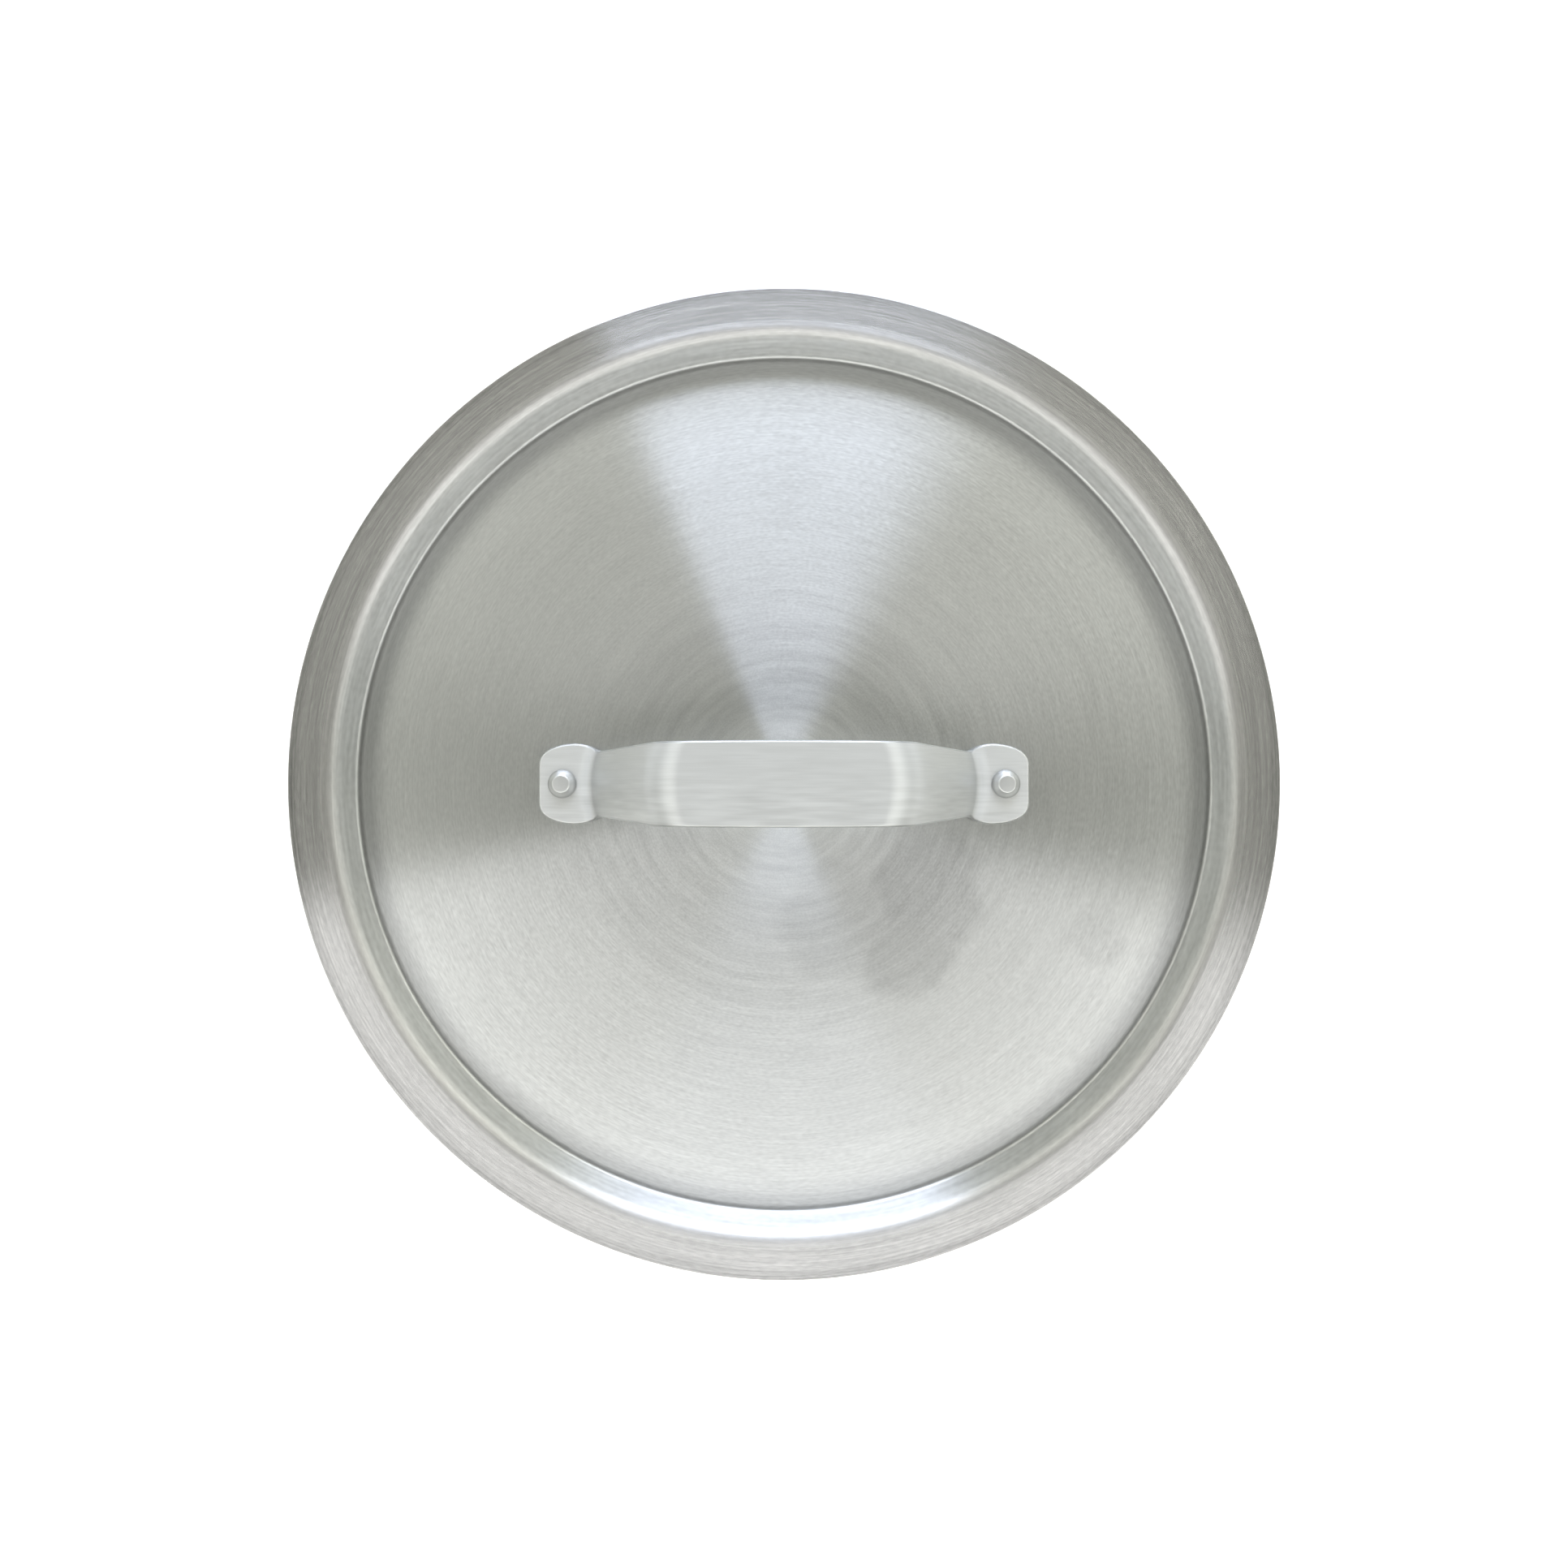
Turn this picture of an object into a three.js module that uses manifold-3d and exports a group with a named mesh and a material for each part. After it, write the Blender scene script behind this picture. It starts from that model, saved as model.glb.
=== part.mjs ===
// Lid of a brew kettle: a spun aluminium disc with a sunk middle, and a strap handle held by
// two solid rivets. Millimetres, +Z up, +X along the handle. The origin is the middle of the
// plane that the lid stands on when it is laid on a bench, under its sunk middle.

import * as THREE from 'three';
import { mergeVertices } from 'three/addons/utils/BufferGeometryUtils.js';
import Module from 'manifold-3d';

const wasm = await Module();
wasm.setup();

// Lid disc
const LID_RADIUS = 160; // outer edge of the flange
const SHEET = 2; // sheet thickness
const RECESS = 10; // drop from the flange to the foot of the wall
const FOOT_RADIUS = 140.2; // where the wall's foot meets the middle
const WALL_ANGLE = THREE.MathUtils.degToRad(68); // of the wall, from level
const SHOULDER_BEND = 4.5; // top-side radius between flange and wall
const FOOT_BEND = 1.4; // top-side radius between wall and middle
const SEAT_WIDTH = 5; // flat ring inside the foot that the lid stands on
const CROWN = 3; // rise of the middle above that ring

// Strap handle: the path is that of its top face
const STRAP_THICKNESS = 3;
const HANDLE_REACH = 80; // middle of the handle to the outer end of a lobe
const HANDLE_RISE = 35; // lobe's top face to the grip's top face
const GRIP_BEND_START = 31.2; // where the level grip ends
const GRIP_BEND = 14; // outside radius of the grip's bend
const NECK_BEND = 2.7; // inside radius of the bend at the lobe
const LEG_ANGLE = THREE.MathUtils.degToRad(55);
const BOW_RADIUS = 30; // the legs bow outward across the strap
const GRIP_HALF_WIDTH = 13; // in the middle of the grip
const BEND_HALF_WIDTH = 12.7; // at the grip's bends
const NECK_HALF_WIDTH = 10.3; // at the foot of a leg
const LOBE_CENTRE = 70.4;
const LOBE_RADIUS = 13.1;
const LOBE_CORNER = 6; // radius of the two outer corners of a lobe
const NECK_BLEND = 1; // softens the inside corner between leg and lobe

// Rivets
const RIVET_X = 72.3;
const SHANK_RADIUS = 2.4;
const HEAD_RADIUS = 4.65;
const HEAD_FLAT_RADIUS = 2.8; // flat top of the bevelled head
const HEAD_RIM = 0.5; // upright rim under the bevel
const HEAD_HEIGHT = 2.8;
const TAIL_RADIUS = 3.9;
const TAIL_HEIGHT = 1.5;

const GAP = 0.3; // between pieces that touch
const LID_STEPS = 80; // facets round the lid
const CROWN_STEPS = 6; // rings across the crowned middle
const RIVET_STEPS = 24;
const LATERAL_STEPS = 8; // facets across the strap
const LOBE_CORNER_STEPS = 6;

const material = (color, roughness) =>
  new THREE.MeshStandardMaterial({ color, roughness, metalness: 1 });

function toManifold(geometry) {
  const bare = geometry.clone();
  bare.deleteAttribute('normal');
  bare.deleteAttribute('uv');
  const merged = mergeVertices(bare, 1e-4);
  const mesh = new wasm.Mesh({
    numProp: 3,
    vertProperties: Float32Array.from(merged.attributes.position.array),
    triVerts: Uint32Array.from(merged.index.array),
  });
  return new wasm.Manifold(mesh);
}

function fromManifold(solid) {
  const mesh = solid.getMesh();
  const geometry = new THREE.BufferGeometry();
  geometry.setAttribute('position', new THREE.BufferAttribute(mesh.vertProperties, 3));
  geometry.setIndex(new THREE.BufferAttribute(mesh.triVerts, 1));
  geometry.computeVertexNormals();
  return geometry;
}

// Points of a circular arc, by the direction of its outward normal from straight up.
function arc(centreX, centreZ, radius, fromTilt, toTilt, steps) {
  return Array.from({ length: steps + 1 }, (_, i) => {
    const tilt = fromTilt + ((toTilt - fromTilt) * i) / steps;
    return [centreX + radius * Math.sin(tilt), centreZ + radius * Math.cos(tilt)];
  });
}

// A solid turned about the Z axis from [radius, height] points.
function turned(points, steps) {
  const profile = points.map(([r, z]) => new THREE.Vector2(r, z));
  const geometry = new THREE.LatheGeometry(profile, steps, Math.PI / steps);
  return geometry.rotateX(Math.PI / 2);
}

// Height of the crowned middle's top face above the foot's top face.
function crownHeight(radius) {
  const edge = FOOT_RADIUS - SEAT_WIDTH;
  return radius < edge ? CROWN * (1 - (radius / edge) ** 2) : 0;
}

function rivetHole(x) {
  const drill = new THREE.CylinderGeometry(SHANK_RADIUS + GAP, SHANK_RADIUS + GAP, 60, RIVET_STEPS);
  return toManifold(drill.rotateX(Math.PI / 2).translate(x, 0, 0));
}

// The lid's sheet is one profile offset by its thickness: along the top face from the middle
// out to the edge, then back along the underside.
function lidDisc() {
  const footTop = SHEET;
  const flangeTop = SHEET + RECESS;
  const footHeight = footTop + FOOT_BEND;
  const footEndX = FOOT_RADIUS + FOOT_BEND * Math.sin(WALL_ANGLE);
  const footEndZ = footHeight - FOOT_BEND * Math.cos(WALL_ANGLE);
  const shoulderHeight = flangeTop - SHOULDER_BEND;
  const wallTopZ = shoulderHeight + SHOULDER_BEND * Math.cos(WALL_ANGLE);
  const wallRun = (wallTopZ - footEndZ) / Math.tan(WALL_ANGLE);
  const shoulderX = footEndX + wallRun + SHOULDER_BEND * Math.sin(WALL_ANGLE);
  const seatInner = FOOT_RADIUS - SEAT_WIDTH;

  const middle = (drop) =>
    Array.from({ length: CROWN_STEPS + 1 }, (_, i) => {
      const radius = (seatInner * i) / CROWN_STEPS;
      return [radius, footTop + crownHeight(radius) - drop];
    });
  const bends = (drop) => [
    ...arc(FOOT_RADIUS, footHeight, -(FOOT_BEND + drop), 0, -WALL_ANGLE, 4),
    ...arc(shoulderX, shoulderHeight, SHOULDER_BEND - drop, -WALL_ANGLE, 0, 5),
  ];
  const top = [...middle(0), ...bends(0), [LID_RADIUS, flangeTop]];
  const under = [...middle(SHEET), ...bends(SHEET), [LID_RADIUS, flangeTop - SHEET]];
  const profile = [...under, ...top.reverse()];
  const blank = toManifold(turned(profile, LID_STEPS));
  const drilled = blank.subtract(rivetHole(RIVET_X)).subtract(rivetHole(-RIVET_X));
  return fromManifold(drilled);
}

// Half the strap's width at a distance from the handle's middle.
function strapHalfWidth(distance) {
  const lobe = Math.sqrt(Math.max(0, LOBE_RADIUS ** 2 - (distance - LOBE_CENTRE) ** 2));
  if (distance > LOBE_CENTRE) {
    const cornerX = HANDLE_REACH - LOBE_CORNER;
    const across = cornerX - LOBE_CENTRE;
    const cornerY = Math.sqrt((LOBE_RADIUS - LOBE_CORNER) ** 2 - across ** 2);
    const meets = LOBE_CENTRE + (across * LOBE_RADIUS) / (LOBE_RADIUS - LOBE_CORNER);
    const rise = LOBE_CORNER ** 2 - (distance - cornerX) ** 2;
    return distance < meets ? lobe : cornerY + Math.sqrt(Math.max(0, rise));
  }
  const bendX = GRIP_BEND_START + GRIP_BEND * Math.sin(LEG_ANGLE);
  const grip = GRIP_HALF_WIDTH - (GRIP_HALF_WIDTH - BEND_HALF_WIDTH) * (distance / bendX) ** 2;
  const share = (distance - bendX) / (LOBE_CENTRE - LOBE_RADIUS / 2 - bendX);
  const leg = BEND_HALF_WIDTH + (NECK_HALF_WIDTH - BEND_HALF_WIDTH) * share;
  const taper = distance < bendX ? grip : leg;
  return (lobe + taper + Math.hypot(lobe - taper, NECK_BLEND)) / 2;
}

// Stations of the strap's top face for one side: distance out, height above the lobe, and the
// tilt of its normal.
function strapStations() {
  const legTopX = GRIP_BEND_START + GRIP_BEND * Math.sin(LEG_ANGLE);
  const bendDrop = (GRIP_BEND + NECK_BEND) * (1 - Math.cos(LEG_ANGLE));
  const legRun = (HANDLE_RISE - bendDrop) / Math.tan(LEG_ANGLE);
  const neckX = legTopX + legRun + NECK_BEND * Math.sin(LEG_ANGLE);
  const level = (fromX, toX, z, steps) =>
    Array.from({ length: steps }, (_, i) => {
      const share = (i + 1) / steps;
      return { x: fromX + (toX - fromX) * share, z, tilt: 0 };
    });
  const turn = (centreX, centreZ, radius, fromTilt, toTilt, steps) =>
    arc(centreX, centreZ, radius, fromTilt, toTilt, steps).map(([x, z], i) => ({
      x,
      z,
      tilt: fromTilt + ((toTilt - fromTilt) * i) / steps,
    }));
  const grip = level(0, GRIP_BEND_START, HANDLE_RISE, 6);
  const gripTurn = turn(GRIP_BEND_START, HANDLE_RISE - GRIP_BEND, GRIP_BEND, 0, LEG_ANGLE, 6);
  const neckTurn = turn(neckX, NECK_BEND, -NECK_BEND, LEG_ANGLE, 0, 4);
  const lobe = level(neckX, HANDLE_REACH - LOBE_CORNER, 0, 5);
  const corner = Array.from({ length: LOBE_CORNER_STEPS }, (_, i) => {
    const turnBy = ((i + 1) / LOBE_CORNER_STEPS) * (Math.PI / 2);
    return { x: HANDLE_REACH - LOBE_CORNER * (1 - Math.sin(turnBy)), z: 0, tilt: 0 };
  });
  return [...grip, ...gripTurn.slice(1), ...neckTurn, ...lobe, ...corner];
}

// A box divided along and across, each of its layers laid along the stations.
function strapHandle() {
  const half = strapStations();
  const neckX = half.find((station) => station.z === 0).x;
  const mirrored = half.map(({ x, z, tilt }) => ({ x: -x, z, tilt: -tilt })).reverse();
  const stations = [...mirrored, { x: 0, z: HANDLE_RISE, tilt: 0 }, ...half];
  const steps = stations.length - 1;
  const lobeTop = SHEET + crownHeight(neckX) + GAP + STRAP_THICKNESS;
  const geometry = new THREE.BoxGeometry(1, 1, 1, steps, LATERAL_STEPS, 1);
  const position = geometry.attributes.position;
  for (let i = 0; i < position.count; i += 1) {
    const station = stations[Math.round((position.getX(i) + 0.5) * steps)];
    const distance = Math.abs(station.x);
    const y = 2 * position.getY(i) * strapHalfWidth(distance);
    const depth = (0.5 - position.getZ(i)) * STRAP_THICKNESS;
    const outer = (HANDLE_REACH - distance) / (HANDLE_REACH - neckX);
    const bowShare = THREE.MathUtils.clamp(Math.min(distance / GRIP_BEND_START, outer), 0, 1);
    const bow = (bowShare * Math.sign(station.x) * y ** 2) / (2 * BOW_RADIUS);
    const x = station.x - bow - depth * Math.sin(station.tilt);
    position.setXYZ(i, x, y, lobeTop + station.z - depth * Math.cos(station.tilt));
  }
  const blank = toManifold(geometry);
  const drilled = blank.subtract(rivetHole(RIVET_X)).subtract(rivetHole(-RIVET_X));
  return { geometry: fromManifold(drilled), lobeTop };
}

// One rivet from its tail, under the disc, up to its bevelled head.
function rivet(lobeTop) {
  const tailTop = crownHeight(RIVET_X + TAIL_RADIUS) - GAP;
  const headBase = lobeTop + GAP;
  const profile = [
    [0, tailTop - TAIL_HEIGHT],
    [TAIL_RADIUS, tailTop - TAIL_HEIGHT],
    [TAIL_RADIUS, tailTop],
    [SHANK_RADIUS, tailTop],
    [SHANK_RADIUS, headBase],
    [HEAD_RADIUS, headBase],
    [HEAD_RADIUS, headBase + HEAD_RIM],
    [HEAD_FLAT_RADIUS, headBase + HEAD_HEIGHT],
    [0, headBase + HEAD_HEIGHT],
  ];
  return turned(profile, RIVET_STEPS);
}

function piece(name, geometry, finish, x = 0) {
  const mesh = new THREE.Mesh(geometry, finish);
  mesh.name = name;
  mesh.position.x = x;
  return mesh;
}

const strap = strapHandle();
const spunAluminium = material(0xbfc1bd, 0.35);
const brushedStrap = material(0xcdcfcb, 0.3);
const rivetAluminium = material(0xc4c6c6, 0.25);

const lid = new THREE.Group();
lid.add(
  piece('lid_disc', lidDisc(), spunAluminium),
  piece('strap_handle', strap.geometry, brushedStrap),
  piece('rivet_left', rivet(strap.lobeTop), rivetAluminium, -RIVET_X),
  piece('rivet_right', rivet(strap.lobeTop), rivetAluminium, RIVET_X),
);

export default lid;
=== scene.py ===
"""Looks of a brew kettle's lid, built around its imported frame.

A spun aluminium disc with a flat flange and a sunk middle, a strap handle bent from flat strip, and two solid
rivets. Everything is in metres, in the frame's own axes: +Z up, +X along the handle.
"""

import math

import bmesh
import bpy
from bpy.props import FloatProperty, FloatVectorProperty, IntProperty, PointerProperty
from mathutils import Matrix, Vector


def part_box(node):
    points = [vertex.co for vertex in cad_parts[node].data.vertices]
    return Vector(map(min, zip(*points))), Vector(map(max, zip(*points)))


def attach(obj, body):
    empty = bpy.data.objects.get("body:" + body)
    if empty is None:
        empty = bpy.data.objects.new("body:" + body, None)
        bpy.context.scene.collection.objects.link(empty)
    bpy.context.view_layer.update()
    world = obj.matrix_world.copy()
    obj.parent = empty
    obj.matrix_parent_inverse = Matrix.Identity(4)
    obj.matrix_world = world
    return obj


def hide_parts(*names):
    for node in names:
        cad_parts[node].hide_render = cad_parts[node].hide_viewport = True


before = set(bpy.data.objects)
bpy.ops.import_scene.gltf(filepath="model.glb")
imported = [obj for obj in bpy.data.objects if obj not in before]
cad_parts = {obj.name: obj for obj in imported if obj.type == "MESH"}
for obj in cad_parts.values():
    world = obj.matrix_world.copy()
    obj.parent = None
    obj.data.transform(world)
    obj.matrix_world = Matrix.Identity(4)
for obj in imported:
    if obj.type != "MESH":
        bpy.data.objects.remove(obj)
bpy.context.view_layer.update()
DISC_LOW, DISC_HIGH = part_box("lid_disc")
STRAP_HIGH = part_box("strap_handle")[1]

bl_info = {
    "name": "Kettle Lid",
    "version": (1, 0, 0),
    "blender": (4, 5, 0),
    "location": "View3D > Sidebar > Kettle Lid",
    "description": "Builds a spun aluminium kettle lid with a riveted strap handle",
    "category": "Add Mesh",
}

CONTACT = 0.00002  # air left between pieces that are riveted tight
FLOOR_GAP = 0.0001  # air between the lid and the floor
FLOOR_REACH = 6.0  # from the middle of the floor to its sides
DRILL_LOW, DRILL_HIGH = -0.01, 0.03  # the drill reaches from below the disc to above the lobes
DRILL_STEPS = 48  # facets round a rivet hole
RIVET_STEPS = 64  # facets round a rivet
TURN = 2 * math.pi
# The room's light: the sine of the height above the floor's plane, and how bright the walls or ceiling are there
ROOM_GLOW = (
    (0.00, 0.02),
    (0.40, 0.04),
    (0.49, 0.80),
    (0.58, 1.00),
    (0.68, 0.95),
    (0.74, 0.15),
    (0.79, 0.05),
    (0.85, 0.27),
    (0.91, 0.27),
    (0.95, 0.06),
    (1.00, 0.04),
)
# Patches of painted dark reflection on the sunk middle: x, y, radius and the share of the light that each one
# swallows
DARK_REFLECTION_PATCHES = (
    (0.049, -0.036, 0.018, 0.16),
    (0.042, -0.055, 0.015, 0.16),
    (0.020, -0.046, 0.020, 0.08),
    (0.104, -0.050, 0.009, 0.07),
)
# The light cards: which of the stage's colours each one has, its brightness, its azimuths clockwise from +Y, its
# elevations, how wide each of its ends fades and how wide its top fades, with every angle in degrees
CARDS = {
    "window_card": ("window_colour", 8.3, (-22.5, 34), (13, 38), (1, 20), 3),
    "wall_card": ("wall_colour", 1.68, (99, 259), (40, 67), (16, 5), 6),
    "side_card_right": ("room_colour", 2.0, (15, 95), (19, 38), (15, 40), 4),
    "side_card_left": ("room_colour", 1.3, (265, 345), (26, 38), (40, 10), 3),
}


def hex_to_linear(text):
    """An sRGB colour such as #C8C9C4 as linear red, green and blue."""
    channels = [int(text[i : i + 2], 16) / 255 for i in (1, 3, 5)]
    return tuple(c / 12.92 if c <= 0.04045 else ((c + 0.055) / 1.055) ** 2.4 for c in channels)


# ---------------------------------------------------------------- settings


class KettleLidDiscSettings(bpy.types.PropertyGroup):
    radius: FloatProperty(
        name="Radius",
        description="Middle of the lid to the edge of its flange",
        default=(DISC_HIGH.x - DISC_LOW.x) / 2,
        unit="LENGTH",
    )
    sheet: FloatProperty(
        name="Sheet", description="Thickness of the spun sheet", default=0.002, unit="LENGTH"
    )
    foot_radius: FloatProperty(
        name="Foot radius",
        description="Middle of the lid to the crease at the foot of the wall",
        default=0.1402,
        unit="LENGTH",
    )
    wall_angle: FloatProperty(
        name="Wall angle",
        description="Slope of the wall between the sunk middle and the flange",
        default=math.radians(68),
        subtype="ANGLE",
    )
    shoulder_bend: FloatProperty(
        name="Shoulder bend",
        description="Top-side radius between the wall and the flange",
        default=0.0045,
        unit="LENGTH",
    )
    foot_bend: FloatProperty(
        name="Foot bend",
        description="Top-side radius between the wall and the sunk middle",
        default=0.0014,
        unit="LENGTH",
    )
    seat_width: FloatProperty(
        name="Seat width",
        description="Flat ring inside the foot, which the lid stands on",
        default=0.005,
        unit="LENGTH",
    )
    crown: FloatProperty(
        name="Crown",
        description="Rise of the sunk middle above the flat ring",
        default=0.003,
        unit="LENGTH",
    )
    edge_round: FloatProperty(
        name="Edge rounding",
        description="Radius filed on the flange's two edges",
        default=0.0004,
        unit="LENGTH",
    )
    steps: IntProperty(name="Steps", description="Facets round the lid", default=480, min=48)
    colour: FloatVectorProperty(
        name="Colour",
        description="Bare spun aluminium",
        subtype="COLOR",
        default=hex_to_linear("#DEDFDF"),
    )
    tarnish: FloatVectorProperty(
        name="Tarnish",
        description="The same metal where it is tarnished, on the wall and the flange",
        subtype="COLOR",
        default=hex_to_linear("#DEDDDD"),
    )


class KettleLidHandleSettings(bpy.types.PropertyGroup):
    thickness: FloatProperty(
        name="Thickness", description="Thickness of the strip", default=0.003, unit="LENGTH"
    )
    grip_bend_start: FloatProperty(
        name="Grip bend start",
        description="Middle of the grip to where it starts to bend down",
        default=0.0312,
        unit="LENGTH",
    )
    grip_bend: FloatProperty(
        name="Grip bend", description="Outside radius of the grip's bend", default=0.014, unit="LENGTH"
    )
    neck_bend: FloatProperty(
        name="Neck bend", description="Inside radius of the bend at a lobe", default=0.0027, unit="LENGTH"
    )
    leg_angle: FloatProperty(
        name="Leg angle", description="Slope of a leg", default=math.radians(55), subtype="ANGLE"
    )
    bow_radius: FloatProperty(
        name="Bow radius",
        description="Radius of the legs' outward bow, seen from above",
        default=0.030,
        unit="LENGTH",
    )
    grip_half_width: FloatProperty(
        name="Grip half width", description="In the middle of the grip", default=0.013, unit="LENGTH"
    )
    bend_half_width: FloatProperty(
        name="Bend half width", description="Where the grip bends", default=0.0127, unit="LENGTH"
    )
    neck_half_width: FloatProperty(
        name="Neck half width", description="At the foot of a leg", default=0.0103, unit="LENGTH"
    )
    lobe_centre: FloatProperty(
        name="Lobe centre", description="Middle of the handle to a lobe's centre", default=0.0704, unit="LENGTH"
    )
    lobe_radius: FloatProperty(
        name="Lobe radius", description="Radius of a lobe's round sides", default=0.0131, unit="LENGTH"
    )
    lobe_corner: FloatProperty(
        name="Lobe corner", description="Radius of a lobe's two outer corners", default=0.006, unit="LENGTH"
    )
    neck_blend: FloatProperty(
        name="Neck blend", description="Softens the corner between leg and lobe", default=0.001, unit="LENGTH"
    )
    edge_round: FloatProperty(
        name="Edge rounding", description="Radius tumbled on the strip's edges", default=0.0007, unit="LENGTH"
    )
    colour: FloatVectorProperty(
        name="Colour",
        description="Rolled aluminium strip",
        subtype="COLOR",
        default=hex_to_linear("#D3D4D4"),
    )


class KettleLidRivetSettings(bpy.types.PropertyGroup):
    shank_radius: FloatProperty(
        name="Shank radius", description="Radius of the shank and its holes", default=0.0024, unit="LENGTH"
    )
    head_radius: FloatProperty(
        name="Head radius", description="Radius of the head", default=0.00465, unit="LENGTH"
    )
    head_height: FloatProperty(
        name="Head height", description="Height of the head above the lobe", default=0.0030, unit="LENGTH"
    )
    flat_radius: FloatProperty(
        name="Flat radius", description="Radius of the head's flat top", default=0.0028, unit="LENGTH"
    )
    rim: FloatProperty(
        name="Rim", description="Upright rim under the head's bevel", default=0.0005, unit="LENGTH"
    )
    tail_radius: FloatProperty(
        name="Tail radius", description="Radius of the upset tail under the disc", default=0.0039, unit="LENGTH"
    )
    tail_height: FloatProperty(
        name="Tail height", description="Height of the upset tail", default=0.0015, unit="LENGTH"
    )
    colour: FloatVectorProperty(
        name="Colour",
        description="Pressed aluminium",
        subtype="COLOR",
        default=hex_to_linear("#D4D5D5"),
    )


class KettleLidStageSettings(bpy.types.PropertyGroup):
    camera_height: FloatProperty(
        name="Camera height", description="Height of the camera above the floor", default=0.402, unit="LENGTH"
    )
    lens: FloatProperty(
        name="Lens", description="Focal length on a 36 mm sensor", default=27.81, unit="CAMERA"
    )
    card_distance: FloatProperty(
        name="Card distance", description="Radius of the ring of light cards", default=1.6, unit="LENGTH"
    )
    window_colour: FloatVectorProperty(
        name="Window colour",
        description="Cool light behind the lid",
        subtype="COLOR",
        default=hex_to_linear("#E3ECFF"),
    )
    wall_colour: FloatVectorProperty(
        name="Wall colour",
        description="White light in front of the lid",
        subtype="COLOR",
        default=hex_to_linear("#FBFBFC"),
    )
    room_colour: FloatVectorProperty(
        name="Room colour",
        description="Faintly warm light at the sides and from the room all round",
        subtype="COLOR",
        default=hex_to_linear("#FEFFF4"),
    )
    room_strength: FloatProperty(
        name="Room strength", description="Brightness of the light from the room all round", default=2.1
    )
    paper_white: FloatProperty(
        name="Paper white", description="Share of the light that the floor's paper gives back", default=0.9
    )
    paper_glow: FloatProperty(
        name="Paper glow", description="Light of the floor's own that keeps it white", default=0.45
    )


class KettleLidSettings(bpy.types.PropertyGroup):
    disc: PointerProperty(type=KettleLidDiscSettings)
    handle: PointerProperty(type=KettleLidHandleSettings)
    rivet: PointerProperty(type=KettleLidRivetSettings)
    stage: PointerProperty(type=KettleLidStageSettings)


# ---------------------------------------------------------------- geometry


def arc(centre, radius, start, end, steps):
    """Points of an arc in the (distance, height) plane. Angles are tilts of the outward normal from straight up."""
    points = []
    for i in range(steps + 1):
        tilt = start + (end - start) * i / steps
        points.append((centre[0] + radius * math.sin(tilt), centre[1] + radius * math.cos(tilt)))
    return points


def crown_height(disc, distance):
    """Height of the sunk middle above its flat ring."""
    edge = disc.foot_radius - disc.seat_width
    return disc.crown * (1 - (distance / edge) ** 2) if distance < edge else 0.0


def turned_mesh(name, profile, steps):
    """A closed body turned about Z from (radius, height) points that start and end on the axis."""
    bm = bmesh.new()
    rings = []
    for radius, height in profile:
        if radius < 1e-9:
            rings.append([bm.verts.new((0, 0, height))])
            continue
        rings.append(
            [
                bm.verts.new((radius * math.cos(TURN * i / steps), radius * math.sin(TURN * i / steps), height))
                for i in range(steps)
            ]
        )
    for inner, outer in zip(rings, rings[1:]):
        for i in range(steps):
            j = (i + 1) % steps
            corners = [inner[i % len(inner)], outer[i % len(outer)], outer[j % len(outer)], inner[j % len(inner)]]
            bm.faces.new(list(dict.fromkeys(corners)))
    bmesh.ops.recalc_face_normals(bm, faces=bm.faces)
    mesh = bpy.data.meshes.new(name)
    bm.to_mesh(mesh)
    bm.free()
    mesh.shade_smooth()
    return mesh


def new_piece(name, mesh, material):
    """An object for a mesh, in the scene, with its one material."""
    piece = bpy.data.objects.new(name, mesh)
    bpy.context.scene.collection.objects.link(piece)
    mesh.materials.append(material)
    return piece


def drill_rivet_holes(piece, radius):
    """Cuts the two rivet holes through a piece."""
    for x in rivet_places():
        side = [(0, DRILL_LOW), (radius, DRILL_LOW), (radius, DRILL_HIGH), (0, DRILL_HIGH)]
        drill = turned_mesh("drill", side, DRILL_STEPS)
        cutter = bpy.data.objects.new("drill", drill)
        cutter.location.x = x
        bpy.context.scene.collection.objects.link(cutter)
        cut = piece.modifiers.new("hole", "BOOLEAN")
        cut.object = cutter
        cut.operation = "DIFFERENCE"
        cut.solver = "EXACT"
        bpy.context.view_layer.update()
        cut_mesh = bpy.data.meshes.new_from_object(piece.evaluated_get(bpy.context.evaluated_depsgraph_get()))
        piece.modifiers.clear()
        piece.data = cut_mesh
        bpy.data.objects.remove(cutter)


def rivet_places():
    """Distance of each rivet along the handle, left then right."""
    return [sum(corner.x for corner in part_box(node)) / 2 for node in ("rivet_left", "rivet_right")]


# ---------------------------------------------------------------- materials


def add_node(tree, kind, settings=None, inputs=None):
    """Adds a node, sets its properties, and fills its inputs with values, sockets or other nodes' first outputs."""
    node = tree.nodes.new(kind)
    for key, value in (settings or {}).items():
        setattr(node, key, value)
    for key, value in (inputs or {}).items():
        source = value.outputs[0] if isinstance(value, bpy.types.Node) else value
        if isinstance(source, bpy.types.NodeSocket):
            tree.links.new(source, node.inputs[key])
        else:
            node.inputs[key].default_value = source
    return node


def new_material(name, colour, roughness, anisotropy=0.0):
    """A material and its shader, which is a bare metal's unless it is changed."""
    material = bpy.data.materials.new(name)
    material.use_nodes = True
    material.diffuse_color = (*colour, 1)
    shader = material.node_tree.nodes["Principled BSDF"]
    shader.inputs["Base Color"].default_value = (*colour, 1)
    shader.inputs["Metallic"].default_value = 1.0
    shader.inputs["Roughness"].default_value = roughness
    shader.inputs["Anisotropic"].default_value = anisotropy
    return material, shader


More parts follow.
